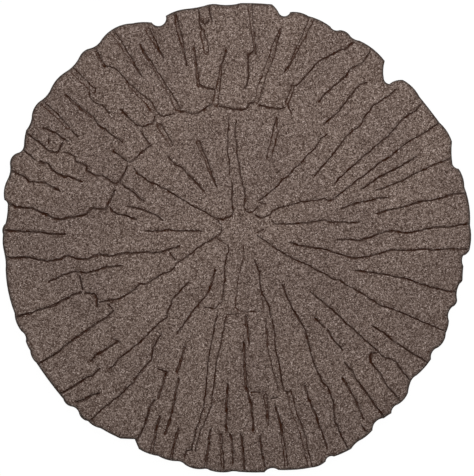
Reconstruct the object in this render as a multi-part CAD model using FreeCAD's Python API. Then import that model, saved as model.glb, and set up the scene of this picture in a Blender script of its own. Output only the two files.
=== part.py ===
"""Round garden stepping stone, moulded in one piece as a thick slice of a log.

The slab has a wavy bark rim with a little draft and a rounded top edge, a flat
underside, and a top face that is broken by the drying cracks of the wood: fine
hairlines, and wider splits that have a floor of their own.
Millimetres, +Z up, origin at the middle of the underside.
"""

import FreeCAD
import Part
import math
import os

# Driving sizes of the slab
DIAMETER = 457.0
THICKNESS = 20.0
WALL_DRAFT = 1.0
EDGE_ROUND = 3.0

# Driving sizes of the cracks: a hairline is a plain V, a split has a floor between its walls
HAIRLINE_DEPTH_SHARE = 1.2
SPLIT_DEPTH = 2.4
SPLIT_WALL_RUN = 0.8
CRACK_TIP_SHARE = 0.7

# The rim, the crack widths and the crack routes below are drawn on a slice 457 across
DRAWING_SCALE = DIAMETER / 457

# How far the crack cutters stand above the top face
CUTTER_LIP = 0.6

# One row for each arc of the rim, seen from above and anticlockwise from +X:
# bearing and radius where the arc starts, then bearing and radius at its middle
RIM = [
    (3.0, 227.7, 7.5, 228.8), (12.5, 227.3, 15.0, 228.1), (17.2, 226.4, 17.8, 223.4),
    (18.7, 222.1, 21.2, 224.6), (24.0, 229.7, 26.2, 229.9), (29.5, 227.2, 33.0, 225.8),
    (37.5, 224.8, 41.0, 225.3), (43.4, 223.2, 44.6, 217.5), (45.1, 211.0, 46.0, 209.7),
    (47.3, 211.3, 48.7, 216.5), (50.0, 224.5, 53.5, 226.6), (58.0, 226.0, 59.5, 224.6),
    (60.5, 225.2, 62.2, 226.9), (63.6, 225.4, 64.8, 223.3), (66.0, 224.8, 69.0, 226.7),
    (72.0, 226.7, 74.6, 227.5), (76.6, 225.6, 78.0, 220.3), (79.5, 223.6, 80.4, 227.0),
    (81.3, 229.6, 85.0, 229.0), (89.0, 228.3, 92.0, 226.5), (95.0, 228.2, 96.3, 228.6),
    (98.0, 227.7, 100.5, 227.3), (102.5, 228.0, 105.5, 228.1), (107.7, 226.5, 109.4, 219.1),
    (111.5, 225.0, 113.5, 228.8), (116.0, 232.0, 121.0, 236.0), (125.0, 232.1, 126.2, 231.5),
    (127.7, 232.8, 129.0, 234.4), (131.0, 233.0, 134.0, 230.6), (136.0, 231.8, 138.7, 233.1),
    (141.3, 231.6, 143.0, 230.7), (144.6, 231.9, 146.8, 234.0), (149.8, 230.8, 151.4, 229.4),
    (153.0, 229.9, 155.0, 227.8), (156.7, 225.4, 157.6, 225.2), (158.7, 227.6, 160.3, 232.3),
    (162.3, 231.4, 164.5, 229.4), (166.0, 230.3, 168.3, 231.1), (170.8, 229.0, 171.5, 225.4),
    (172.2, 224.8, 174.5, 224.4), (176.5, 225.3, 177.9, 228.1), (179.2, 227.4, 181.0, 227.8),
    (183.5, 226.8, 185.7, 226.0), (188.0, 227.0, 194.5, 228.6), (198.8, 228.3, 201.8, 229.7),
    (203.6, 228.4, 205.0, 226.8), (206.2, 228.7, 207.3, 229.2), (208.7, 229.1, 210.3, 230.8),
    (212.0, 230.0, 216.0, 229.8), (223.0, 230.6, 224.4, 231.8), (225.6, 230.2, 227.0, 228.3),
    (228.3, 230.2, 229.4, 231.5), (231.0, 229.9, 232.6, 230.2), (234.5, 228.1, 237.0, 227.2),
    (240.0, 226.0, 241.7, 222.8), (243.2, 220.0, 244.2, 223.2), (245.2, 226.8, 248.0, 227.2),
    (250.3, 226.0, 252.7, 226.8), (255.0, 225.5, 256.3, 225.2), (257.2, 226.8, 259.7, 228.8),
    (261.8, 227.8, 262.5, 227.2), (263.5, 228.3, 265.0, 229.1), (268.0, 228.6, 269.0, 227.7),
    (270.5, 228.2, 274.0, 229.4), (276.8, 230.3, 278.4, 227.2), (280.2, 230.0, 284.5, 233.5),
    (288.0, 235.6, 290.4, 236.2), (291.7, 234.8, 292.8, 231.7), (294.0, 233.5, 296.3, 234.1),
    (298.5, 234.2, 300.0, 231.7), (302.0, 231.4, 303.8, 230.8), (305.2, 229.7, 307.5, 224.8),
    (309.2, 227.1, 310.2, 227.3), (311.4, 228.1, 312.6, 225.3), (314.0, 226.1, 316.0, 226.9),
    (317.8, 225.4, 319.0, 222.5), (320.3, 220.3, 321.3, 219.7), (322.6, 220.9, 325.0, 222.6),
    (328.0, 223.4, 330.0, 221.0), (331.3, 223.4, 333.0, 225.5), (335.5, 224.0, 337.0, 223.7),
    (338.6, 222.2, 340.6, 219.1), (342.2, 220.8, 343.3, 223.4), (344.7, 222.4, 347.0, 220.9),
    (348.3, 221.9, 348.8, 223.3), (349.3, 224.0, 351.0, 223.1), (352.8, 222.7, 354.2, 220.8),
    (355.4, 221.3, 356.1, 225.3), (357.0, 227.2, 359.5, 228.5),
]

# Hairlines: width and route, from the rim inwards where they reach it
HAIRLINES = [
    # Upper left
    (2.1, [(-127.5, 167), (-119, 165), (-114, 161.3), (-104.4, 150.2)]),
    (2.3, [(-113.4, 125.1), (-102.5, 114.6), (-97.5, 109), (-91.5, 107.3), (-86, 109), (-80, 112),
           (-79, 118)]),
    (2.3, [(-77, 122.5), (-74, 119), (-70.5, 117.5), (-61, 121)]),
    (2.0, [(-143, 142), (-142, 135.5), (-137.5, 131), (-129.7, 127.6), (-123.4, 120.5)]),
    (2.2, [(-139.3, 118), (-132.3, 107.3), (-127, 105.5), (-121.5, 100), (-110.5, 93)]),
    (2.4, [(-160, 103.5), (-154, 97.5)]),
    (2.3, [(-188, 106), (-182.5, 105), (-171, 98.5), (-164, 93.5)]),
    (2.5, [(-211, 107), (-198, 96.5), (-182, 84.5), (-177.5, 83), (-172.5, 83.7), (-169.5, 92)]),
    (1.8, [(-182.7, 95.5), (-182.4, 91)]),
    (2.3, [(-167.5, 83), (-157.3, 79.3), (-156.5, 73.7), (-145.7, 70), (-145.2, 64), (-136, 60.2),
           (-131, 59.5), (-118.5, 52.4), (-113.8, 53.7), (-109.3, 62), (-106, 69)]),
    (2.1, [(-119.5, 84.2), (-114.5, 80), (-105.5, 73.5)]),
    (2.1, [(-93.5, 104), (-89.3, 97), (-84, 91)]),
    (2.3, [(-83.5, 89.5), (-88.5, 86), (-93.5, 82.3), (-98, 77), (-104, 72.5)]),
    # Left
    (2.2, [(-209, 87.5), (-204, 82), (-195.5, 76)]),
    (2.5, [(-191.5, 74), (-184, 71.8), (-179, 65.4), (-167, 58.8), (-162.5, 59), (-150.5, 54.3)]),
    (2.3, [(-227, 68.5), (-206, 59), (-201, 54), (-191, 53.5), (-186, 52.7), (-171, 44.8)]),
    (2.7, [(-232, 37), (-212, 29.3), (-197, 28), (-178.5, 19), (-173, 17.5), (-168, 17.5), (-162.5, 19.5),
           (-150, 21), (-146, 22.7), (-141, 28.3), (-128, 27.2), (-121.8, 37.7), (-118, 46)]),
    (2.5, [(-111, 51.5), (-109.3, 49), (-100, 44), (-93.5, 37.7), (-90.2, 36.4)]),
    (2.5, [(-122, 28.5), (-119.8, 24.8), (-110, 21.3), (-96.5, 17.5)]),
    (2.3, [(-106, 30.6), (-90, 26.4), (-71.5, 17.3)]),
    (2.5, [(-236, 8.5), (-215, 6), (-204, 6), (-182, 3.8), (-166, 3)]),
    (2.3, [(-88.5, 5.8), (-72, 6.4), (-66, 7.7), (-59.3, 6.4), (-33.5, 6.3)]),
    (2.5, [(-233, -19.3), (-200, -19.7), (-184, -23.4), (-172, -21.3), (-166.8, -18.5), (-162, -18.2),
           (-157, -20.5), (-146, -21.4), (-133, -16.2), (-122.7, -17.8), (-106, -14.9), (-96, -15.3),
           (-88.5, -13.9), (-81, -15.5), (-69, -12.7), (-55, -7.8)]),
    (2.4, [(-182.5, -42.8), (-170, -37.6), (-158.3, -33.4), (-144.5, -34.4), (-128.5, -29.3),
           (-112, -27.5)]),
    (2.7, [(-152.8, -37.5), (-149.8, -50.5)]),
    (2.7, [(-226, -80.3), (-196, -72.3), (-178, -66.4), (-158, -55.2), (-150.5, -53)]),
    (2.6, [(-147, -54), (-138, -54.6), (-135.3, -59), (-134.7, -67)]),
    (2.3, [(-132.5, -62.6), (-112.7, -59.5), (-98.5, -49.8), (-93.5, -45.4), (-88, -45.2), (-70, -34.4),
           (-64.5, -33), (-60.5, -29)]),
    # Lower left
    (2.6, [(-119.5, -71), (-129.3, -79.3), (-136, -83), (-146.4, -91), (-159.3, -99.7), (-172.3, -110.1),
           (-202.5, -129)]),
    (1.8, [(-125, -64.5), (-120.3, -69.7)]),
    (1.8, [(-120, -98.3), (-113.3, -102.3)]),
    (2.5, [(-115.5, -101), (-128.5, -109.3), (-136, -114.2), (-142, -120)]),
    (2.5, [(-132.5, -127.3), (-140, -134.5), (-146, -136), (-158.5, -145), (-182, -158)]),
    (3.1, [(-134.5, -151), (-143.5, -154.8), (-148, -158.3), (-156, -159.8)]),
    (1.4, [(-79, -91), (-72.8, -93.3)]),
    (2.2, [(-72.5, -93), (-81, -107), (-82.5, -117.8), (-97.7, -136.8), (-100.5, -141.5), (-113.5, -153),
           (-131, -166.8), (-151, -186.5)]),
    (2.2, [(-47.5, -43.4), (-61.8, -60.6), (-66.3, -70.4), (-67.6, -76.6), (-85.2, -92.3), (-89.3, -98),
           (-113.5, -117.6), (-124, -128)]),
    (2.0, [(-77, -127.5), (-66, -130.7)]),
    (2.5, [(-80, -157.8), (-84.3, -165.5), (-90.2, -184.7), (-101, -205)]),
    (2.3, [(-42.5, -206), (-48.5, -207.7), (-50.5, -213)]),
    # Middle, round the pith
    (2.0, [(-99, 67.3), (-96.8, 62.7), (-87.7, 56.4), (-63, 43.5), (-48.9, 34.7), (-44, 31.4), (-32.7, 26),
           (-23.5, 20.2), (-16, 17.5), (-12, 17.5), (-5, 21), (-3.3, 26), (-4.8, 33), (-4.8, 39.3),
           (-4, 53.5)]),
    (1.7, [(-7.7, 61), (-6.8, 69), (-9, 88.5), (-7.5, 110), (-7, 117)]),
    (1.8, [(-0.9, 113), (-2, 101), (0.6, 85), (2.7, 67), (7.7, 44), (7.3, 30), (9, 26), (12.5, 23.8),
           (16, 25), (20.5, 30.5)]),
    (2.0, [(22.3, 36), (39.5, 49.6), (44.4, 56.1), (49.5, 59.1), (58, 68.7), (62.7, 71.4), (68, 79.8),
           (75, 85), (82.7, 97.3), (88, 100.8)]),
    (1.7, [(22, 34), (28, 32)]),
    (1.9, [(-22, 19.3), (-14.7, 12.8)]),
    (1.4, [(-22.5, 0.8), (-15, -3), (-9, -7)]),
    (1.9, [(26.3, 8.8), (20.3, 4.6)]),
    (1.4, [(-8.5, -75), (3.5, -74.5)]),
    (2.1, [(-14.5, 9.5), (-14.2, 5.5), (-17.7, 1.8), (-35, -7.7), (-39.5, -10.8), (-44.1, -16),
           (-57.4, -24.8)]),
    (2.1, [(-59.8, -22.4), (-64.3, -15)]),
    (2.0, [(-59, -25), (-60, -28)]),
    (1.8, [(-7.7, -7.5), (-8, -12.7), (-11.4, -31), (-11.4, -41), (-12.9, -56), (-14.6, -62.8),
           (-21.8, -69.9), (-31.7, -67.4)]),
    (1.4, [(7, -8), (6.4, -20.2), (2.3, -35.2), (-1.4, -63), (-0.5, -68.7), (4.5, -72.2), (23, -72)]),
    (2.2, [(17.9, -22.5), (21.8, -35.2), (24.6, -54.5), (28.5, -60), (31, -65.2), (33.3, -77)]),
    (1.5, [(25.2, -58.5), (26, -68.5)]),
    # Top
    (2.4, [(-54.5, 121.8), (-50, 122.5), (-45.5, 121), (-37, 120), (-33, 123.5), (-23.8, 129.5)]),
    (2.6, [(-16.7, 127.6), (-10.3, 126.3), (-4, 124.1), (9.5, 125), (12.5, 130), (17.5, 132.3)]),
    (2.5, [(22, 129.5), (31, 126.3), (43, 125), (47, 126.2)]),
    (1.8, [(49.7, 131), (51, 125.5), (53.8, 121)]),
    (2.5, [(-36.5, 149), (-33, 147.1), (-27, 144.2), (-20.5, 143.8)]),
    (2.2, [(-38, 236), (-36, 212), (-35, 203)]),
    (2.7, [(-34.5, 211), (-31, 208), (-27, 210.7)]),
    (2.4, [(-29, 236), (-25.3, 216), (-23.5, 209.5)]),
    (2.4, [(17, 182), (11.5, 177), (12, 168), (11.7, 162), (12.5, 156), (8.3, 144)]),
    # Upper right
    (2.2, [(115, 190.5), (109, 186), (104.5, 182), (99, 181.2), (80, 171.3), (62, 150.5), (57, 147.2),
           (52.5, 148)]),
    (2.3, [(129.5, 180.5), (121.5, 168.5), (115, 166), (110.5, 162.8), (105.4, 155.8), (89.5, 142.3),
           (80, 132)]),
    (2.3, [(126, 151.2), (120, 149), (115.8, 144.4), (99.2, 122.4), (84.8, 109.7)]),
    (2.0, [(155, 144.2), (147, 137.5), (134, 128.5), (124, 116), (120.5, 109), (107, 98.7), (98, 86.4),
           (75.5, 60)]),
    (2.2, [(194, 141), (180, 130), (173.5, 122.5), (161.5, 115.6), (157.3, 110), (149.4, 101.3),
           (138.4, 91.5), (110.5, 67.3), (95, 52.7)]),
    (2.1, [(208, 119), (193.8, 109.3), (177.2, 98.3), (169.7, 94.8), (150.8, 80.2), (132.3, 67.2),
           (96.8, 39.3), (89.3, 35.2), (84.3, 37.5), (79, 36), (72.7, 36), (56.8, 32.7), (41, 29),
           (35, 26.3), (32, 21.8), (24.3, 18.3), (18.3, 21.5)]),
    (2.4, [(174, 78.2), (153, 65.6), (139.7, 59.3), (120.5, 46.5)]),
    # Right
    (2.1, [(226, 83.5), (198, 73), (178.8, 64.3), (158, 53.7), (136, 45.5)]),
    (2.3, [(102.8, 28.5), (108, 31), (118.8, 33.5), (136.3, 37.8), (145.5, 38.8)]),
    (2.4, [(237, 45), (208, 41.2), (191.3, 35.9), (183, 35.6), (154.7, 28), (136, 23.5)]),
    (2.2, [(34.2, 16.6), (37, 12.8), (54.3, 12.8), (69.3, 13.9), (86, 16.9), (93.5, 14.9), (104.3, 15.6),
           (111, 14.4), (119.7, 15.3)]),
    (2.2, [(98, -2), (120.5, -3), (144.7, 5.6), (153, 6.6), (160, 4.6), (170, 4.5), (190.5, 9.6),
           (204, 9.9), (238, 15.3)]),
    (2.2, [(51.5, -4.9), (71, -9.8), (87.7, -11.4), (99.3, -16.4), (115.5, -20.3), (128.8, -18.3),
           (151.3, -12.6), (181, -11.4), (191.3, -12.2), (207, -10.8), (217, -11.8), (236, -10.3)]),
    (2.2, [(115, -32.2), (135.5, -34.8), (161.3, -39), (188, -48.3), (206.3, -52.6), (229, -53.3)]),
    (2.1, [(20, 2.3), (33.5, -7.5), (55, -21), (60.5, -22.4), (90.2, -38), (94.5, -41.2), (99.3, -41.4),
           (124.7, -56.4), (141.3, -66.4), (156.3, -71.4), (189.7, -86), (215, -95.7)]),
    # Lower right
    (2.3, [(131.5, -85.7), (142.2, -92.3), (154.7, -102), (168, -110.6), (197, -129)]),
    (2.2, [(72, -52.3), (76, -56.6), (92.7, -70.6), (112, -87.5), (117.5, -93.3), (134.7, -108.5),
           (144, -116.8), (150, -118.6), (155.7, -122.6), (176.6, -149.3)]),
    (2.3, [(136.5, -111.5), (131, -112), (129.2, -116), (130.5, -121.5), (137.2, -130), (147.2, -144.7),
           (165, -166)]),
    (1.5, [(146, -156), (145.2, -163)]),
    (2.2, [(75.8, -77.8), (85.5, -87.5)]),
    (2.4, [(88, -90), (91.8, -96), (103, -109.7)]),
    (2.5, [(104.5, -121.5), (112.7, -129.7), (116, -138), (128, -153.8), (149, -182)]),
    (2.2, [(122, -182.5), (124.7, -187), (133, -194.5)]),
    (2.3, [(44.5, -46), (50.2, -59.3), (58.5, -76.4), (66.4, -88.5), (70.6, -105.2), (76.8, -127),
           (83.5, -140.5), (88.7, -145), (94, -161.3), (95.6, -179.1), (112, -213.4)]),
    # Bottom
    (1.9, [(-19.3, -75), (-23.6, -97), (-27.3, -117.4), (-29.9, -149.6), (-31.9, -165.2), (-41.1, -194.3),
           (-43.2, -207)]),
    (1.7, [(-9.5, -77), (-14.6, -99), (-19, -118.6), (-22.7, -150.4), (-25.4, -167), (-37.4, -195.4),
           (-40, -207.5)]),
    (1.5, [(28, -79.5), (30.2, -97.5), (30.1, -104.3), (34.7, -125.6), (41, -150.2)]),
    (1.9, [(34.6, -79), (37.4, -96.4), (37, -103.7), (41.6, -124.4), (45.6, -149.2)]),
    (1.8, [(46.5, -149.2), (53, -149.3)]),
    (1.6, [(13.5, -150), (28.5, -150.3)]),
    (2.1, [(33.5, -156), (40, -155)]),
]

# Splits: width at the first point, width at the last point, route
SPLITS = [
    # Upper left
    (3.6, 3.4, [(-143.6, 193.2), (-132.1, 172.7), (-127.6, 165.7)]),
    (4.4, 6.6, [(-103.3, 147.7), (-93.3, 137.7), (-86.1, 131), (-79.3, 122.7)]),
    (6.6, 6.0, [(-169.4, 172.6), (-150.4, 153.6), (-138.4, 142.3)]),
    (5.6, 4.6, [(-200, 141), (-185, 127.5), (-173, 116.5), (-163.5, 107)]),
    (3.0, 3.2, [(-166, 138), (-153.5, 126.8), (-140.1, 117)]),
    (6.6, 2.0, [(-126.2, 207.5), (-112.2, 187.5), (-100.8, 170.1), (-92.5, 156.5)]),
    (2.4, 6.0, [(-94, 187), (-87.4, 175.2), (-76, 158.5), (-65, 140.5), (-56.5, 124)]),
    (5.8, 2.0, [(-86.3, 201.5), (-82, 194), (-71, 174)]),
    (5.8, 4.6, [(-75, 109), (-69.5, 99.5), (-63.5, 89.5)]),
    (2.3, 2.3, [(-66.5, 78), (-60, 70.5), (-54.3, 69), (-42.7, 56.4), (-31.3, 44.8)]),
    (4.8, 2.4, [(-37.3, 92.6), (-29.5, 75.5), (-19.7, 49.4)]),
    # Top
    (2.4, 4.6, [(-62, 230), (-57.5, 207), (-55, 197)]),
    (4.6, 4.2, [(-55, 197), (-53, 188.7)]),
    (3.4, 2.4, [(-53, 188.7), (-52, 185), (-48.7, 167)]),
    (5.6, 6.4, [(-33.2, 200.5), (-30.7, 190.2), (-28.4, 179.7)]),
    (2.4, 3.8, [(-41, 184.5), (-39, 168), (-37, 148)]),
    (2.4, 2.8, [(-9.8, 182), (-15.4, 165)]),
    (2.8, 7.2, [(-15.4, 165), (-16.7, 152), (-19.8, 138), (-20.2, 130)]),
    (6.4, 2.6, [(11.7, 238), (14.2, 214), (15.9, 198), (18.6, 178.4)]),
    (2.4, 5.6, [(42.5, 202.4), (37.2, 186)]),
    (5.8, 5.6, [(37.2, 186), (33.1, 173.9), (24, 149.9), (19.4, 132.4)]),
    (7.0, 2.0, [(76.8, 221.4), (63.6, 191.6), (46.9, 160.6)]),
    (4.6, 4.6, [(54.6, 145.6), (52.6, 139.2), (48.7, 130.7)]),
    (2.4, 6.2, [(38.9, 116.2), (37.8, 103.5)]),
    (6.2, 5.0, [(37.8, 103.5), (35.4, 91.9), (31, 75.9)]),
    # Lower left
    (2.3, 2.3, [(-20.6, -31.5), (-26, -49.3), (-29.3, -56.8), (-41, -69.3), (-46, -77.3),
                (-57.7, -93)]),
    (2.4, 3.4, [(-50.3, -106.1), (-53.5, -118.2), (-57.7, -130.6)]),
    (3.2, 2.6, [(-68.1, -132.2), (-73.1, -147.2), (-76.6, -156.7)]),
    (2.4, 4.6, [(-75, -174.5), (-77.7, -184.7), (-85.4, -222)]),
    (2.8, 2.8, [(-56.3, -136.5), (-58.4, -149), (-63.3, -173.8), (-70.1, -191.3)]),
    (2.8, 3.2, [(-56.3, -185.5), (-61, -201.3), (-65.5, -227)]),
    # Bottom
    (2.4, 3.6, [(-24.6, -186.5), (-27.5, -204), (-31.8, -236)]),
    (2.6, 3.2, [(-8.8, -142), (-9.8, -167), (-10.2, -189)]),
    (3.4, 4.2, [(-15.4, -191.5), (-14.1, -209), (-13.5, -238)]),
    (2.6, 2.6, [(-6.2, -191), (-3.8, -208), (-3.7, -219.5)]),
    (2.5, 2.5, [(4.3, -190.5), (6.7, -208), (8.5, -238)]),
    (2.4, 2.4, [(22.4, -193), (25, -211), (30.7, -236)]),
    (3.6, 2.4, [(8.6, -76.5), (10.6, -92), (12.6, -103.5)]),
    (3.0, 2.7, [(6.8, -102), (7.7, -126), (9, -144), (14.5, -163.5), (16.5, -187.5)]),
    (4.6, 2.4, [(27.8, -153), (29.8, -172), (30.8, -182)]),
    (2.4, 5.0, [(38, -164.5), (43.1, -182), (47.3, -209), (49.3, -237)]),
    (6.0, 5.2, [(51, -150.7), (57, -174), (64.7, -192.4), (74, -233)]),
    # Lower right
    (2.5, 2.5, [(66.3, -143.5), (71.3, -160.5), (77.9, -174.7), (87.9, -204.5)]),
    (2.6, 2.6, [(103.3, -136.5), (113, -153.3), (123.5, -176.5)]),
]


def rim_point(bearing, radius, inset, height):
    """A point of the rim at one height, drawn in towards the middle by the inset."""
    angle = math.radians(bearing)
    reach = radius * DRAWING_SCALE - inset
    return FreeCAD.Vector(reach * math.cos(angle), reach * math.sin(angle), height)


def rim_ring(inset, height):
    """The closed chain of arcs that is the rim's outline at one height."""
    ring = []
    for row, following in zip(RIM, RIM[1:] + RIM[:1]):
        start = rim_point(row[0], row[1], inset, height)
        middle = rim_point(row[2], row[3], inset, height)
        end = rim_point(following[0], following[1], inset, height)
        ring.append(Part.Arc(start, middle, end).toShape())
    return ring


def make_slab():
    """The uncracked slice: foot, drafted wall, rounded top edge and top face."""
    half_round = math.radians(45)
    shoulder = THICKNESS - EDGE_ROUND
    rings = [
        rim_ring(0, 0),
        rim_ring(WALL_DRAFT, shoulder),
        rim_ring(WALL_DRAFT + EDGE_ROUND * (1 - math.cos(half_round)),
                 shoulder + EDGE_ROUND * math.sin(half_round)),
        rim_ring(WALL_DRAFT + EDGE_ROUND, THICKNESS),
    ]
    faces = [Part.Face(Part.Wire(rings[0])), Part.Face(Part.Wire(rings[-1]))]
    for lower, upper in zip(rings, rings[1:]):
        faces += [Part.makeRuledSurface(low, high) for low, high in zip(lower, upper)]
    return solid_of(faces)


def solid_of(faces):
    """The solid that a closed set of faces bounds."""
    solid = Part.makeSolid(Part.makeShell(faces))
    if solid.Volume < 0:
        solid.reverse()
    return solid


def facet(*corners):
    """A flat face through the corners, in order."""
    return Part.Face(Part.makePolygon(list(corners) + [corners[0]]))


def panel(first, second, third, fourth):
    """A four-cornered wall: one flat face, or two triangles where the wall twists."""
    if Part.makePolygon([first, second, third, fourth, first]).findPlane():
        return [facet(first, second, third, fourth)]
    return [facet(first, second, third), facet(first, third, fourth)]


def headings_of(route):
    """Unit directions of the straight runs of a route."""
    return [(after - before).normalize() for before, after in zip(route, route[1:])]


def mitres_of(route):
    """For each point of a route, the sideways step that moves both its runs by one unit."""
    headings = headings_of(route)
    mitres = []
    for arriving, leaving in zip(headings[:1] + headings, headings + headings[-1:]):
        along = (arriving + leaving).normalize()
        across = FreeCAD.Vector(-along.y, along.x, 0)
        mitres.append(across * (1 / along.dot(leaving)))
    return mitres


def widths_along(route, first_width, last_width):
    """Widths at the points of a route, changing evenly with the distance gone."""
    gone = [0.0]
    for before, after in zip(route, route[1:]):
        gone.append(gone[-1] + before.distanceToPoint(after))
    return [first_width + (last_width - first_width) * part / gone[-1] for part in gone]


def crack_cutter(points, first_width, last_width, depth, wall_run):
    """The solid that cuts one crack: walls that lean in to a floor, or to a keel where they meet."""
    route = [FreeCAD.Vector(x, y, 0) * DRAWING_SCALE for x, y in points]
    headings = headings_of(route)
    lid = FreeCAD.Vector(0, 0, THICKNESS + CUTTER_LIP)
    keel = FreeCAD.Vector(0, 0, THICKNESS - depth)
    flare = wall_run * CUTTER_LIP / depth
    left, right, left_floor, right_floor = [], [], [], []
    for place, mitre, width in zip(route, mitres_of(route), widths_along(route, first_width, last_width)):
        mouth = mitre * (width / 2 + flare)
        floor = mitre * (width / 2 - wall_run)
        left.append(place + mouth + lid)
        right.append(place - mouth + lid)
        left_floor.append(place + floor + keel)
        right_floor.append(place - floor + keel)
    start = route[0] - headings[0] * (first_width * CRACK_TIP_SHARE) + lid
    end = route[-1] + headings[-1] * (last_width * CRACK_TIP_SHARE) + lid

    faces = [facet(start, *left, end, *reversed(right))]
    for mouth, floor in ((left, left_floor), (right, right_floor)):
        faces += [facet(start, mouth[0], floor[0]), facet(end, mouth[-1], floor[-1])]
        for step in range(len(route) - 1):
            faces += panel(mouth[step], mouth[step + 1], floor[step + 1], floor[step])
    if wall_run < first_width / 2:
        faces.append(facet(*left_floor, *reversed(right_floor)))
        faces += [facet(start, left_floor[0], right_floor[0]), facet(end, left_floor[-1], right_floor[-1])]
    return solid_of(faces)


def crack_cutters():
    """Cutters of every hairline and every split of the top face."""
    cutters = []
    for drawn_width, route in HAIRLINES:
        width = drawn_width * DRAWING_SCALE
        cutters.append(crack_cutter(route, width, width, width * HAIRLINE_DEPTH_SHARE, width / 2))
    for first_width, last_width, route in SPLITS:
        cutters.append(crack_cutter(route, first_width * DRAWING_SCALE, last_width * DRAWING_SCALE,
                                    SPLIT_DEPTH, SPLIT_WALL_RUN))
    return cutters


def make_stepping_stone():
    """The cracked slab, with its origin at the middle of its underside."""
    stone = make_slab().cut(crack_cutters())
    foot = Part.Wire(rim_ring(0, 0)).BoundBox.Center
    stone.translate(FreeCAD.Vector(-foot.x, -foot.y, 0))
    return stone


os.makedirs("parts", exist_ok=True)
stepping_stone = make_stepping_stone()
stepping_stone.exportStep("parts/stepping_stone.step")
print("solids", len(stepping_stone.Solids), "valid", stepping_stone.isValid(),
      "faces", len(stepping_stone.Faces), "volume", round(stepping_stone.Volume))
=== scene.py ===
"""Looks of the garden stepping stone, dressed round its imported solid.

The stone is one moulding of bonded rubber granules in the shape of a log slice.
One skin stands for the solid: it keeps the solid's rim, cracks and size, and adds
what the moulding shows close to: cracks that wander, crumbled lips and a grainy face.
Lengths are in metres, and MM turns millimetres into metres.
"""

import logging
from dataclasses import dataclass, field
from enum import Enum
from typing import Any, List, Mapping, Optional, Tuple, Union

import bmesh
import bpy
import numpy as np
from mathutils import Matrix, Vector
from mathutils.geometry import delaunay_2d_cdt
from mathutils.kdtree import KDTree

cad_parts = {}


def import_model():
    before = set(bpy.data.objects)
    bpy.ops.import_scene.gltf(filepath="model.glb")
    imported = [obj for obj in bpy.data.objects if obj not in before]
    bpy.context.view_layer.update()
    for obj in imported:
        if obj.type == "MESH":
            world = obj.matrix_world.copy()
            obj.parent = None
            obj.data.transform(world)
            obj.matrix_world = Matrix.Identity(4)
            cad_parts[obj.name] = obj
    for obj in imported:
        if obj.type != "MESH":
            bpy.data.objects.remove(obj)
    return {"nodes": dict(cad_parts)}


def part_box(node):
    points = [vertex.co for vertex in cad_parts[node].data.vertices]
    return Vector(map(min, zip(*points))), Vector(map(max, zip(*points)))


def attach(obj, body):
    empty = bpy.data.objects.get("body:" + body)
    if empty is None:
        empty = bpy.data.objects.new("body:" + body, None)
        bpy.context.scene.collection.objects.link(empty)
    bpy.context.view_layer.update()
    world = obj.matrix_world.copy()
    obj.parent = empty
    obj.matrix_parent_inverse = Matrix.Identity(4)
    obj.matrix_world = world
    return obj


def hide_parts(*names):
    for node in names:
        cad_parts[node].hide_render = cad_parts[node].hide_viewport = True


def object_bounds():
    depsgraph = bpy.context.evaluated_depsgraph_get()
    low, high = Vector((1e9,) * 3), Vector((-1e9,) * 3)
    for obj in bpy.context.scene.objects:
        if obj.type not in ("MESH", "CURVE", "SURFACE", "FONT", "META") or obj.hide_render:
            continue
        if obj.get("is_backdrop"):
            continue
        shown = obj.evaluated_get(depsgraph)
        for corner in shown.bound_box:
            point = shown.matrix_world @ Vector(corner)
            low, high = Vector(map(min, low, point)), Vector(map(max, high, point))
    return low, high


LOG = logging.getLogger("stepping_stone")
MM = 0.001

# What the triangulation keeps, and the distance in millimetres at which it takes two points for one
INSIDE_BOUNDS = 1
SAME_POINT = 1e-6

# Height of an even triangle of side 1, which is the spacing of staggered rows
TRIANGLE_HEIGHT = 0.866

Colour = Tuple[float, float, float, float]
Pair = Tuple[float, float]
WHITE: Colour = (1.0, 1.0, 1.0, 1.0)


class Push(Enum):
    """Which way a relief moves the skin."""

    ACROSS = "X"
    ALONG = "Y"
    OUTWARDS = "NORMAL"


class Zone(Enum):
    """A part of the skin that is worked by itself."""

    LIPS = "lips"
    INNER = "inner"
    MOULDED = "moulded"


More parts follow.
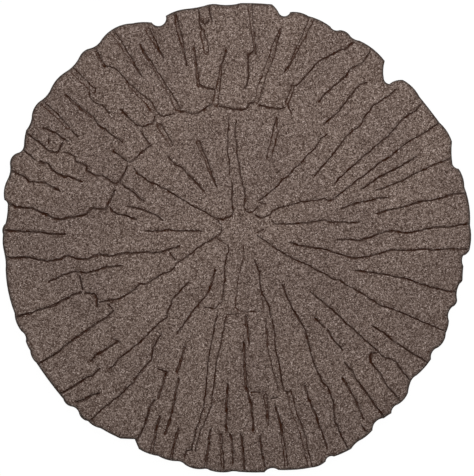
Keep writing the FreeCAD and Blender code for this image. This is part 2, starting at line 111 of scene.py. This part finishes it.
class Value:
    """A number on its way through a shader: arithmetic on it adds Math nodes.

    Attributes:
        graph: The shader graph that the number runs in.
        socket: The output socket that gives the number.
    """

    def __init__(self, graph: "ShaderGraph", socket: bpy.types.NodeSocket) -> None:
        """Wrap one output socket of a graph."""
        self.graph = graph
        self.socket = socket

    def _math(self, operation: str, first: "Operand", second: "Operand") -> "Value":
        """Add one Math node.

        Args:
            operation: The Math node's operation.
            first: Its first number.
            second: Its second number.

        Returns:
            The node's result.
        """
        sockets = {"Value": first, "Value_001": second}
        return self.graph.number("ShaderNodeMath", {"operation": operation}, sockets, "Value")

    def __add__(self, other: "Operand") -> "Value":
        """This number plus another."""
        return self._math("ADD", self, other)

    def __radd__(self, other: "Operand") -> "Value":
        """Another number plus this one."""
        return self._math("ADD", other, self)

    def __sub__(self, other: "Operand") -> "Value":
        """This number less another."""
        return self._math("SUBTRACT", self, other)

    def __rsub__(self, other: "Operand") -> "Value":
        """Another number less this one."""
        return self._math("SUBTRACT", other, self)

    def __mul__(self, other: "Operand") -> "Value":
        """This number times another."""
        return self._math("MULTIPLY", self, other)

    def __rmul__(self, other: "Operand") -> "Value":
        """Another number times this one."""
        return self._math("MULTIPLY", other, self)

    def __or__(self, other: "Operand") -> "Value":
        """The larger of this number and another."""
        return self._math("MAXIMUM", self, other)

    def __ror__(self, other: "Operand") -> "Value":
        """The larger of another number and this one."""
        return self._math("MAXIMUM", other, self)

    def step(self, low: float, high: float) -> "Value":
        """Ease this number from 0 at one bound to 1 at the other.

        Args:
            low: The number that gives 0.
            high: The number that gives 1; it may be the smaller of the two.

        Returns:
            The eased share, never outside 0 to 1.
        """
        settings = {"interpolation_type": "SMOOTHSTEP"}
        sockets = {"Value": self, "From Min": low, "From Max": high}
        return self.graph.number("ShaderNodeMapRange", settings, sockets, "Result")


Operand = Union[Value, float]
Feed = Union[Value, bpy.types.NodeSocket, float, Tuple[float, ...]]


class ShaderGraph:
    """A node tree that is written as a list of plain calls."""

    def __init__(self, tree: bpy.types.NodeTree) -> None:
        """Start from an empty tree."""
        self.tree = tree
        tree.nodes.clear()

    def add(
        self,
        kind: str,
        settings: Optional[Mapping[str, Any]] = None,
        sockets: Optional[Mapping[str, Feed]] = None,
    ) -> bpy.types.Node:
        """Add one node.

        Args:
            kind: The node's type.
            settings: Properties of the node, set first; "stops" fills a colour ramp.
            sockets: Values or links of its input sockets, by identifier.

        Returns:
            The new node.
        """
        node = self.tree.nodes.new(kind)
        for name, setting in (settings or {}).items():
            if name == "stops":
                self._fill_ramp(node.color_ramp, setting)
            else:
                setattr(node, name, setting)
        inputs = {socket.identifier: socket for socket in node.inputs}
        for name, feed in (sockets or {}).items():
            if isinstance(feed, Value):
                self.tree.links.new(feed.socket, inputs[name])
            elif isinstance(feed, bpy.types.NodeSocket):
                self.tree.links.new(feed, inputs[name])
            else:
                inputs[name].default_value = feed
        return node

    def output(
        self,
        kind: str,
        settings: Optional[Mapping[str, Any]],
        sockets: Optional[Mapping[str, Feed]],
        name: str,
    ) -> bpy.types.NodeSocket:
        """Add one node and give one of its outputs.

        Args:
            kind: The node's type.
            settings: As for add.
            sockets: As for add.
            name: The identifier of the output socket.

        Returns:
            That output socket.
        """
        node = self.add(kind, settings, sockets)
        return next(socket for socket in node.outputs if socket.identifier == name)

    def number(
        self,
        kind: str,
        settings: Optional[Mapping[str, Any]],
        sockets: Optional[Mapping[str, Feed]],
        name: str,
    ) -> Value:
        """Add one node and give one of its outputs as a number; see output."""
        return Value(self, self.output(kind, settings, sockets, name))

    def blend(self, share: Operand, first: Feed, second: Feed, mode: str = "MIX") -> bpy.types.NodeSocket:
        """Blend two colours.

        Args:
            share: How much of the second colour there is, 0 to 1.
            first: The first colour.
            second: The second colour.
            mode: The Mix node's blend type.

        Returns:
            The blended colour.
        """
        settings = {"data_type": "RGBA", "blend_type": mode}
        sockets = {"Factor_Float": share, "A_Color": first, "B_Color": second}
        return self.output("ShaderNodeMix", settings, sockets, "Result_Color")

    @staticmethod
    def _fill_ramp(ramp: bpy.types.ColorRamp, stops: Tuple[Tuple[float, Colour], ...]) -> None:
        """Set a ramp's stops.

        Args:
            ramp: The ramp, with its two first stops.
            stops: Place and colour of each stop, in order.
        """
        while len(ramp.elements) < len(stops):
            ramp.elements.new(1.0)
        for element, (place, colour) in zip(ramp.elements, stops):
            element.position = place
            element.color = colour


@dataclass(frozen=True)
class CrumbRubber:
    """Brown rubber granules bonded under heat: mottled, matt and pitted.

    Attributes:
        slot: The record's material slot, and the material's name.
        granule: Width of the common granule.
        crumb: Width of the fine crumb between the granules.
        granule_share: How much of a spot's tone is the granule's; the rest is the crumb's.
        tones: Share of the granules below each tone, and the tone.
        mottle: Width of the faint patches of tone.
        mottle_detail: Finer layers in the noise of the patches.
        patch_bounds: Noise at which a patch begins, and at which it is full.
        patch_share: Strength of a full patch.
        patch_tint: Colour that a patch multiplies the granules by.
        crack_shade: Painted shade that the crack walls sink to.
        crack_shade_share: Strength of that painted shade in a common crack.
        crack_shade_depth: Depth at which the painted shade in a crack begins, and at which it is full.
        crack_shade_reach: Distance from the lip at which the painted shade ends, and at which it is full.
        crumble: How far single granules shift the depth at which the painted crack shade begins.
        bead: Length over which the painted crack shade thickens and thins.
        bead_detail: Finer layers in the noise of that thickening.
        swell: How far it shifts the depth at which the painted crack shade begins.
        fade: How far it shifts the strength of the painted crack shade.
        wall_shade: Painted shade that the bark wall and its rounded edge lean to.
        wall_shade_share: Strength of that painted shade on the bark wall.
        wall_slope: Rise of the normal at which a slope begins to take the painted wall shade, and at
            which it takes it in full.
        face_inset: Distance from the wall at which the top face begins, and is clear of it.
        edge_inset: Distance from the wall at which the painted shade on the rounded edge ends, and at
            which it is full.
        edge_shade_share: Strength of the painted wall shade on the rounded edge.
        roughness: Roughness of the driest and of the smoothest granules.
        sheen: Strength of the mirrored light.
        grain_height: Height of the granules in the bump.
        bump: Strength of the bump.
        granule_dome: How far a granule rises to its middle, as a share of that height.
        crumb_dome: The same for the crumb.
    """

    slot: str = "brown_crumb_rubber"
    granule: float = 0.95 * MM
    crumb: float = 0.62 * MM
    granule_share: float = 0.66
    tones: Tuple[Tuple[float, Colour], ...] = (
        (0.08, (0.028, 0.015, 0.010, 1.0)),
        (0.288, (0.078, 0.050, 0.039, 1.0)),
        (0.50, (0.145, 0.104, 0.086, 1.0)),
        (0.712, (0.222, 0.168, 0.143, 1.0)),
        (0.876, (0.340, 0.268, 0.235, 1.0)),
        (1.0, (0.640, 0.530, 0.480, 1.0)),
    )
    mottle: float = 70.0 * MM
    mottle_detail: float = 1.0
    patch_bounds: Pair = (0.35, 0.70)
    patch_share: float = 0.5
    patch_tint: Colour = (0.80, 0.79, 0.81, 1.0)
    # Painted shade in the cracks: the colour that the crack walls darken to
    crack_shade: Colour = (0.044, 0.015, 0.007, 1.0)
    crack_shade_share: float = 0.80
    crack_shade_depth: Pair = (0.1 * MM, 1.5 * MM)
    crack_shade_reach: Pair = (2.0 * MM, 0.8 * MM)
    crumble: float = 1.2 * MM
    bead: float = 9.0 * MM
    bead_detail: float = 2.0
    swell: float = 2.4 * MM
    fade: float = 1.5
    # Painted shade on the steep bark wall and on the rounded edge of the top
    wall_shade: Colour = (0.036, 0.027, 0.022, 1.0)
    wall_shade_share: float = 0.68
    wall_slope: Pair = (0.92, 0.45)
    face_inset: Pair = (1.0 * MM, 4.0 * MM)
    edge_inset: Pair = (4.2 * MM, 1.0 * MM)
    edge_shade_share: float = 0.23
    roughness: Pair = (0.96, 0.82)
    sheen: float = 0.02
    grain_height: float = 0.5 * MM
    bump: float = 0.5
    granule_dome: float = 0.7
    crumb_dome: float = 0.45

    def make(self, top: float, inset_name: str, lip_name: str) -> bpy.types.Material:
        """Make the material.

        Args:
            top: Height of the top face.
            inset_name: The mesh attribute that holds the distance from the wall.
            lip_name: The mesh attribute that holds the distance from a crack's lip.

        Returns:
            The new material.
        """
        material = bpy.data.materials.new(self.slot)
        material.use_nodes = True
        graph = ShaderGraph(material.node_tree)
        place = graph.output("ShaderNodeTexCoord", None, None, "Object")
        granule = self._cells(graph, place, self.granule)
        crumb = self._cells(graph, place, self.crumb)
        tone = self._random(graph, granule) * self.granule_share
        tone = tone + self._random(graph, crumb) * (1.0 - self.granule_share)
        colour = self._granule_colour(graph, place, tone)
        inset = self._attribute(graph, inset_name)
        lip = self._attribute(graph, lip_name)
        # Painted shade in the cracks, on the bark wall and on the rounded edge
        colour = self._paint_shade(graph, place, colour, tone, top, inset, lip)
        dome = 1.0 - Value(graph, granule.outputs["Distance"]) * self.granule_dome
        height = dome + (1.0 - Value(graph, crumb.outputs["Distance"])) * self.crumb_dome
        bump = {"Strength": self.bump, "Distance": self.grain_height, "Height": height}
        normal = graph.output("ShaderNodeBump", None, bump, "Normal")
        dry, smooth = self.roughness
        shader = graph.add("ShaderNodeBsdfPrincipled", None, {
            "Base Color": colour,
            "Roughness": dry + tone * (smooth - dry),
            "Specular IOR Level": self.sheen,
            "Normal": normal,
        })
        graph.add("ShaderNodeOutputMaterial", None, {"Surface": shader.outputs["BSDF"]})
        return material

    @staticmethod
    def _cells(graph: ShaderGraph, place: bpy.types.NodeSocket, width: float) -> bpy.types.Node:
        """Pack the surface with grains.

        Args:
            graph: The graph to add to.
            place: Object coordinates.
            width: Width of one grain.

        Returns:
            The Voronoi node.
        """
        settings = {"feature": "F1", "distance": "EUCLIDEAN"}
        return graph.add("ShaderNodeTexVoronoi", settings, {"Vector": place, "Scale": 1.0 / width})

    @staticmethod
    def _random(graph: ShaderGraph, cells: bpy.types.Node) -> Value:
        """Give each grain a number of its own, 0 to 1."""
        sockets = {"Color": cells.outputs["Color"]}
        return graph.number("ShaderNodeSeparateColor", None, sockets, "Red")

    @staticmethod
    def _noise(graph: ShaderGraph, place: bpy.types.NodeSocket, width: float, detail: float) -> Value:
        """Vary a number smoothly over the surface.

        Args:
            graph: The graph to add to.
            place: Object coordinates.
            width: Width of the patches.
            detail: How many finer layers the noise has.

        Returns:
            The number, about 0.5 on average.
        """
        sockets = {"Vector": place, "Scale": 1.0 / width, "Detail": detail}
        return graph.number("ShaderNodeTexNoise", None, sockets, "Fac")

    @staticmethod
    def _attribute(graph: ShaderGraph, name: str) -> Value:
        """Read a number that is stored on the mesh, by its attribute's name."""
        return graph.number("ShaderNodeAttribute", {"attribute_name": name}, None, "Fac")

    def _granule_colour(
        self, graph: ShaderGraph, place: bpy.types.NodeSocket, tone: Value,
    ) -> bpy.types.NodeSocket:
        """Colour the granules, with faint larger patches.

        Args:
            graph: The graph to add to.
            place: Object coordinates.
            tone: Tone of each granule, 0 to 1.

        Returns:
            The colour.
        """
        colour = graph.output("ShaderNodeValToRGB", {"stops": self.tones}, {"Fac": tone}, "Color")
        patch = self._noise(graph, place, self.mottle, self.mottle_detail).step(*self.patch_bounds)
        return graph.blend(patch * self.patch_share, colour, self.patch_tint, "MULTIPLY")

    def _paint_shade(
        self, graph: ShaderGraph, place: bpy.types.NodeSocket, colour: bpy.types.NodeSocket,
        tone: Value, top: float, inset: Value, lip: Value,
    ) -> bpy.types.NodeSocket:
        """Paint shade into the cracks, and onto the bark wall and its rounded edge.

        Args:
            graph: The graph to add to.
            place: Object coordinates.
            colour: The granules' colour.
            tone: Tone of each granule, which lets the painted shade crumble at its edges.
            top: Height of the top face.
            inset: Distance from the wall.
            lip: Distance from a crack's lip.

        Returns:
            The colour with its painted shade.
        """
        height = graph.number("ShaderNodeSeparateXYZ", None, {"Vector": place}, "Z")
        facing = graph.output("ShaderNodeNewGeometry", None, None, "Normal")
        upright = graph.number("ShaderNodeSeparateXYZ", None, {"Vector": facing}, "Z")
        bead = self._noise(graph, place, self.bead, self.bead_detail) - 0.5
        depth = top - height + (0.5 - tone) * self.crumble + bead * self.swell
        # Painted shade in the cracks: dark where a crack is deep and near a lip
        sunk = depth.step(*self.crack_shade_depth)
        beside = lip.step(*self.crack_shade_reach)
        inner = inset.step(*self.face_inset)
        share = self.crack_shade_share + bead * self.fade
        colour = graph.blend(sunk * beside * inner * share, colour, self.crack_shade)
        # Painted shade on the rounded edge and on the steep bark wall
        edge = inset.step(*self.edge_inset) * self.edge_shade_share
        steep = upright.step(*self.wall_slope) * (1.0 - inner) * self.wall_shade_share
        return graph.blend(edge | steep, colour, self.wall_shade)


@dataclass(frozen=True)
class Relief:
    """One layer of unevenness in the skin.

    Attributes:
        name: Name of the layer.
        width: Width of its bumps.
        height: From its lowest to its highest.
        push: Which way it moves the skin.
        zone: The zone that it moves.
        detail: Finer layers in its noise.
    """

    name: str
    width: float
    height: float
    push: Push
    zone: Zone
    detail: int = 1


@dataclass
class SteppingStone:
    """The moulded log slice, as one skin over its CAD solid.

    Attributes:
        node: The CAD node that the skin stands for.
        name: Name of the finished piece.
        body: The CAD body that it rides on.
        face_grid: Spacing of the points on the top face.
        face_shift: How far a point strays from its even place, as a share of the spacing.
        face_margin: How far the points keep from the lips, as a share of the spacing.
        face_seed: Seed of the straying.
        crack_grid: Longest edge in the cracks and on the rounded rim.
        wall_grid: Longest edge on the bark wall.
        weld: Distance at which loose corners are merged.
        flush: Depth below the top that still counts as the top face.
        crack_floor: Depth below the top that no crack reaches.
        sole: Height below which the underside stays flat.
        lip_passes: Rounds of smoothing that soften the crack lips.
        lip_softness: Strength of one round.
        rim_fade: Distance from the wall at which the cracks wander in full.
        reliefs: The layers of unevenness.
        finish: The material.
        inset_name: The mesh attribute that holds the distance from the wall.
        lip_name: The mesh attribute that holds the distance from a crack's lip.
    """

    node: str = "stepping_stone"
    name: str = "log_slice_slab"
    body: str = "root"
    face_grid: float = 2.15 * MM
    face_shift: float = 0.2
    face_margin: float = 0.6
    face_seed: int = 7
    crack_grid: float = 2.1 * MM
    wall_grid: float = 4.2 * MM
    weld: float = 0.001 * MM
    flush: float = 0.01 * MM
    crack_floor: float = 4.0 * MM
    sole: float = 0.5 * MM
    lip_passes: int = 1
    lip_softness: float = 0.5
    rim_fade: float = 14.0 * MM
    reliefs: Tuple[Relief, ...] = (
        Relief("cracks_wander_across", 8.0 * MM, 2.2 * MM, Push.ACROSS, Zone.INNER),
        Relief("cracks_wander_along", 7.1 * MM, 2.2 * MM, Push.ALONG, Zone.INNER),
        Relief("lips_tear_across", 3.1 * MM, 1.2 * MM, Push.ACROSS, Zone.INNER),
        Relief("lips_tear_along", 2.8 * MM, 1.2 * MM, Push.ALONG, Zone.INNER),
        Relief("crumbled_skin", 4.2 * MM, 0.45 * MM, Push.OUTWARDS, Zone.MOULDED),
    )
    finish: CrumbRubber = field(default_factory=CrumbRubber)
    inset_name: str = "inset"
    lip_name: str = "lip"

    def build(self, nodes: Mapping[str, bpy.types.Object]) -> bpy.types.Object:
        """Build the skin, dress it and put it in its CAD node's place.

        Args:
            nodes: The CAD nodes by name.

        Returns:
            The finished piece.
        """
        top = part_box(self.node)[1].z
        piece = self._copy_solid(nodes[self.node])
        bpy.ops.object.mode_set(mode="EDIT")
        self._merge_and_open(piece, top)
        self._refine_walls(piece, top)
        self._fill_face(piece, top)
        bpy.ops.object.mode_set(mode="OBJECT")
        self._measure_from(piece, self.inset_name, self._wall(piece, top))
        self._measure_from(piece, self.lip_name, self._lips(piece, top))
        self._group_zones(piece, top)
        self._apply(
            piece, "SMOOTH", factor=self.lip_softness, iterations=self.lip_passes,
            vertex_group=Zone.LIPS.value,
        )
        for relief in self.reliefs:
            self._roughen(piece, relief)
        bpy.ops.object.shade_smooth()
        piece.vertex_groups.clear()
        piece.data.materials.clear()
        piece.data.materials.append(self.finish.make(top, self.inset_name, self.lip_name))
        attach(piece, self.body)
        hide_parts(self.node)
        return piece

    def _copy_solid(self, solid: bpy.types.Object) -> bpy.types.Object:
        """Copy the CAD mesh into a new piece.

        Args:
            solid: The CAD node.

        Returns:
            The new piece, selected and active.
        """
        bpy.ops.object.select_all(action="DESELECT")
        piece = bpy.data.objects.new(self.name, solid.data.copy())
        bpy.context.scene.collection.objects.link(piece)
        piece.select_set(True)
        bpy.context.view_layer.objects.active = piece
        return piece

    def _merge_and_open(self, piece: bpy.types.Object, top: float) -> None:
        """Merge the loose triangles of the copy and take its flat top face off.

        Args:
            piece: The piece, in edit mode.
            top: Height of the top face.
        """
        bpy.ops.mesh.select_mode(type="FACE")
        bpy.ops.mesh.select_all(action="SELECT")
        bpy.ops.mesh.remove_doubles(threshold=self.weld)
        bpy.ops.mesh.select_all(action="DESELECT")
        mesh = bmesh.from_edit_mesh(piece.data)
        for face in mesh.faces:
            face.select_set(all(top - vertex.co.z < self.flush for vertex in face.verts))
        bmesh.update_edit_mesh(piece.data)
        bpy.ops.mesh.delete(type="FACE")

    def _refine_walls(self, piece: bpy.types.Object, top: float) -> None:
        """Halve the long edges of cracks, rim and wall until none is left.

        Args:
            piece: The piece, in edit mode.
            top: Height of the top face.
        """
        bpy.ops.mesh.select_mode(type="EDGE")
        while self._select_long_edges(piece, top):
            bpy.ops.mesh.subdivide(number_cuts=1, ngon=False)
        bpy.ops.mesh.select_all(action="SELECT")
        bpy.ops.mesh.quads_convert_to_tris()

    def _select_long_edges(self, piece: bpy.types.Object, top: float) -> int:
        """Select the edges that are still too long; the underside is left as it is.

        Args:
            piece: The piece, in edit mode.
            top: Height of the top face.

        Returns:
            How many edges are selected.
        """
        bpy.ops.mesh.select_all(action="DESELECT")
        mesh = bmesh.from_edit_mesh(piece.data)
        count = 0
        for edge in mesh.edges:
            highest = max(vertex.co.z for vertex in edge.verts)
            limit = self.crack_grid if highest > top - self.crack_floor else self.wall_grid
            if highest > self.sole and edge.calc_length() > limit:
                edge.select_set(True)
                count += 1
        bmesh.update_edit_mesh(piece.data)
        return count

    def _fill_face(self, piece: bpy.types.Object, top: float) -> None:
        """Fill the open top with an even net of triangles that keeps every crack's lips.

        Args:
            piece: The piece, in edit mode.
            top: Height of the top face.
        """
        mesh = bmesh.from_edit_mesh(piece.data)
        lips = [edge.link_loops[0] for edge in mesh.edges if edge.is_boundary]
        vertices = list({vertex: None for loop in lips for vertex in loop.edge.verts})
        places = {vertex: index for index, vertex in enumerate(vertices)}
        ways = [(places[loop.link_loop_next.vert], places[loop.vert]) for loop in lips]
        points = [vertex.co.xy / MM for vertex in vertices]
        spread = self._face_points(points)
        vertices += [mesh.verts.new((*(point * MM), top)) for point in spread]
        result = delaunay_2d_cdt(points + spread, ways, [], INSIDE_BOUNDS, SAME_POINT)
        _, _, faces, sources, _, _ = result
        net = [tuple(sources[index][0] for index in face) for face in faces]
        for face in self._beside_lips(net, ways):
            mesh.faces.new([vertices[index] for index in face])
        for vertex in vertices:
            if not vertex.link_faces:
                mesh.verts.remove(vertex)
        bmesh.update_edit_mesh(piece.data)

    @staticmethod
    def _beside_lips(net: List[Tuple[int, ...]], ways: List[Tuple[int, int]]) -> List[Tuple[int, ...]]:
        """Pick the triangles that belong to the top face, and leave the crack mouths open.

        Args:
            net: Triangles over the face and the crack mouths, anticlockwise.
            ways: The lips, each in the direction that the top face runs along it.

        Returns:
            The triangles that are reached from the lips without crossing one.
        """
        owner = {pair: face for face in net for pair in zip(face, face[1:] + face[:1])}
        shut = set(ways)
        waiting = [owner[way] for way in ways]
        kept = dict.fromkeys(waiting)
        while waiting:
            face = waiting.pop()
            for first, second in zip(face, face[1:] + face[:1]):
                next_face = None if (first, second) in shut else owner[second, first]
                if next_face and next_face not in kept:
                    kept[next_face] = None
                    waiting.append(next_face)
        return list(kept)

    def _face_points(self, lips: List[Vector]) -> List[Vector]:
        """Spread points over the top face in staggered rows, clear of the lips.

        Args:
            lips: Points of the lips and of the rim, in millimetres.

        Returns:
            The points, in millimetres.
        """
        tree = KDTree(len(lips))
        for index, point in enumerate(lips):
            tree.insert(point.to_3d(), index)
        tree.balance()
        pitch = self.face_grid / MM
        low, high = (Vector(corner).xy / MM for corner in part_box(self.node))
        shift = np.random.default_rng(self.face_seed)
        points = []
        for row, y in enumerate(np.arange(low.y, high.y, pitch * TRIANGLE_HEIGHT)):
            for x in np.arange(low.x + row % 2 * pitch / 2, high.x, pitch):
                stray = Vector(shift.uniform(-self.face_shift, self.face_shift, 2))
                point = Vector((x, y)) + stray * pitch
                if tree.find(point.to_3d())[2] > self.face_margin * pitch:
                    points.append(point)
        return points

    @staticmethod
    def _apply(piece: bpy.types.Object, kind: str, **settings: Any) -> None:
        """Add a modifier to the active piece and apply it.

        Args:
            piece: The piece.
            kind: The modifier's type.
            **settings: Its properties.
        """
        modifier = piece.modifiers.new(kind.lower(), kind)
        for name, setting in settings.items():
            setattr(modifier, name, setting)
        bpy.ops.object.modifier_apply(modifier=modifier.name)

    @staticmethod
    def _places(piece: bpy.types.Object) -> np.ndarray:
        """Give the places of the piece's vertices.

        Args:
            piece: The piece.

        Returns:
            One row for each vertex.
        """
        flat = np.empty(len(piece.data.vertices) * 3, np.float32)
        piece.data.vertices.foreach_get("co", flat)
        return flat.reshape(-1, 3)

    def _wall(self, piece: bpy.types.Object, top: float) -> np.ndarray:
        """Find the vertices of the bark wall.

        Args:
            piece: The piece.
            top: Height of the top face.

        Returns:
            Their indices.
        """
        heights = self._places(piece)[:, 2]
        return np.flatnonzero((heights < top - self.crack_floor) & (heights > self.sole))

    def _lips(self, piece: bpy.types.Object, top: float) -> np.ndarray:
        """Find the vertices of the top face that an edge leads down from.

        Args:
            piece: The piece.
            top: Height of the top face.

        Returns:
            Their indices.
        """
        ends = np.empty(len(piece.data.edges) * 2, np.int32)
        piece.data.edges.foreach_get("vertices", ends)
        ends = ends.reshape(-1, 2)
        flush = top - self._places(piece)[:, 2] < self.flush
        dips = flush[ends[:, 0]] != flush[ends[:, 1]]
        return np.intersect1d(ends[dips], np.flatnonzero(flush))

    def _group_zones(self, piece: bpy.types.Object, top: float) -> None:
        """Group the lips of the cracks, what is clear of the rim, and all but the underside.

        Args:
            piece: The piece.
            top: Height of the top face.
        """
        heights = self._places(piece)[:, 2]
        lips = piece.vertex_groups.new(name=Zone.LIPS.value)
        lips.add(self._lips(piece, top).tolist(), 1.0, "REPLACE")
        moulded = piece.vertex_groups.new(name=Zone.MOULDED.value)
        moulded.add(np.flatnonzero(heights > self.sole).tolist(), 1.0, "REPLACE")
        inset = np.empty(len(heights), np.float32)
        piece.data.attributes[self.inset_name].data.foreach_get("value", inset)
        inner = piece.vertex_groups.new(name=Zone.INNER.value)
        for index in np.flatnonzero((inset > self.crack_floor) & (heights > top - self.crack_floor)):
            inner.add([int(index)], min(1.0, float(inset[index]) / self.rim_fade), "REPLACE")

    def _roughen(self, piece: bpy.types.Object, relief: Relief) -> None:
        """Push the skin by one layer of unevenness.

        Args:
            piece: The piece.
            relief: The layer.
        """
        texture = bpy.data.textures.new(relief.name, "CLOUDS")
        texture.noise_scale = relief.width
        texture.noise_depth = relief.detail
        self._apply(
            piece, "DISPLACE", texture=texture, texture_coords="LOCAL", direction=relief.push.value,
            mid_level=0.5, strength=relief.height, vertex_group=relief.zone.value,
        )

    def _measure_from(self, piece: bpy.types.Object, name: str, sources: np.ndarray) -> None:
        """Store each vertex's distance from the nearest of some vertices, seen from above.

        Args:
            piece: The piece.
            name: The mesh attribute to store it in.
            sources: Indices of the vertices to measure from.
        """
        flat = self._places(piece) * (1.0, 1.0, 0.0)
        tree = KDTree(len(sources))
        for index in sources:
            tree.insert(Vector(flat[index]), int(index))
        tree.balance()
        distances = [tree.find(Vector(point))[2] for point in flat]
        attribute = piece.data.attributes.new(name, "FLOAT", "POINT")
        attribute.data.foreach_set("value", distances)


@dataclass
class Studio:
    """Plain white floor, soft light from above and the camera of the photograph.

    Attributes:
        floor_size: Side of the floor.
        floor_colour: Colour of the floor.
        floor_glow: Share of plain white that the camera sees on the floor.
        floor_white: Strength of that white.
        fill: Strength of the light from all round.
        lamp_height: Height of the soft lamp.
        lamp_size: Side of the soft lamp.
        lamp_power: Power of the soft lamp, in watts.
        lamp_lean: How far the lamp stands to the right and to the back.
        camera_height: Height of the camera above the top face.
        camera_range: How far the camera sees.
        frame: What the longer side of the picture spans on the top face.
        aim: Where the middle of the picture is on the top face.
    """

    floor_size: float = 40.0
    floor_colour: Colour = (0.85, 0.85, 0.85, 1.0)
    floor_glow: float = 0.95
    floor_white: float = 1.03
    fill: float = 0.33
    lamp_height: float = 0.6
    lamp_size: float = 0.7
    lamp_power: float = 4.2
    lamp_lean: Pair = (0.05, 0.16)
    camera_height: float = 7.5
    camera_range: float = 30.0
    frame: float = 462.2 * MM
    aim: Pair = (0.25 * MM, -0.22 * MM)

    def build(self, top: float) -> bpy.types.Object:
        """Build floor, light and camera.

        Args:
            top: Height of the stone's top face.

        Returns:
            The floor.
        """
        floor = self._lay_floor()
        self._fill_room()
        self._hang_lamp()
        self._set_camera(top)
        bpy.context.scene.view_settings.view_transform = "Standard"
        return floor

    @staticmethod
    def _seen(graph: ShaderGraph) -> Value:
        """Tell the rays that show the background, straight, mirrored or through glass.

        Args:
            graph: The graph to add to.

        Returns:
            1 for such a ray, and 0 for any other.
        """
        path = graph.add("ShaderNodeLightPath")
        names = ("Is Camera Ray", "Is Glossy Ray", "Is Transmission Ray")
        camera, glossy, through = (Value(graph, path.outputs[name]) for name in names)
        return camera | glossy | through

    def _lay_floor(self) -> bpy.types.Object:
        """Lay the floor under the stone.

        Returns:
            The floor.
        """
        bpy.ops.object.select_all(action="DESELECT")
        bpy.ops.mesh.primitive_plane_add(size=self.floor_size)
        floor = bpy.context.object
        floor.name = "studio_floor"
        material = bpy.data.materials.new("pale_floor")
        material.use_nodes = True
        graph = ShaderGraph(material.node_tree)
        pale = graph.add("ShaderNodeBsdfDiffuse", None, {"Color": self.floor_colour})
        white = graph.add("ShaderNodeEmission", None, {"Strength": self.floor_white})
        mixed = graph.add("ShaderNodeMixShader", None, {
            "Fac": self._seen(graph) * self.floor_glow,
            "Shader": pale.outputs["BSDF"],
            "Shader_001": white.outputs["Emission"],
        })
        graph.add("ShaderNodeOutputMaterial", None, {"Surface": mixed.outputs["Shader"]})
        floor.data.materials.append(material)
        floor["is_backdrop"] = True
        return floor

    def _fill_room(self) -> None:
        """Light the stone evenly from all round, before a white background."""
        world = bpy.data.worlds.new("studio")
        world.use_nodes = True
        graph = ShaderGraph(world.node_tree)
        strength = self.fill + self._seen(graph) * (1.0 - self.fill)
        sky = graph.add("ShaderNodeBackground", None, {"Color": WHITE, "Strength": strength})
        graph.add("ShaderNodeOutputWorld", None, {"Surface": sky.outputs["Background"]})
        bpy.context.scene.world = world

    def _hang_lamp(self) -> None:
        """Hang one wide soft lamp above the stone, a little off its middle."""
        across, back = self.lamp_lean
        lamp = bpy.data.lights.new("soft_lamp", "AREA")
        lamp.size = self.lamp_size
        lamp.energy = self.lamp_power
        holder = bpy.data.objects.new("soft_lamp", lamp)
        holder.location = (across, back, self.lamp_height)
        holder.rotation_mode = "QUATERNION"
        holder.rotation_quaternion = (-holder.location).to_track_quat("-Z", "Y")
        holder.visible_camera = False
        bpy.context.scene.collection.objects.link(holder)

    def _set_camera(self, top: float) -> None:
        """Set the camera straight above the stone.

        Args:
            top: Height of the stone's top face.
        """
        camera = bpy.data.cameras.new("camera")
        camera.lens = camera.sensor_width * self.camera_height / self.frame
        camera.clip_end = self.camera_range
        holder = bpy.data.objects.new("camera", camera)
        holder.location = (*self.aim, top + self.camera_height)
        bpy.context.scene.collection.objects.link(holder)
        bpy.context.scene.camera = holder


def main() -> None:
    """Load the frame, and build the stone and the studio."""
    logging.basicConfig(level=logging.INFO)
    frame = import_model()
    cad_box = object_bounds()
    piece = SteppingStone().build(frame["nodes"])
    LOG.info("%s: %d triangles", piece.name, len(piece.data.polygons))
    floor = Studio().build(cad_box[1].z)
    LOG.info("%s", floor.name)


if __name__ == "__main__":
    main()
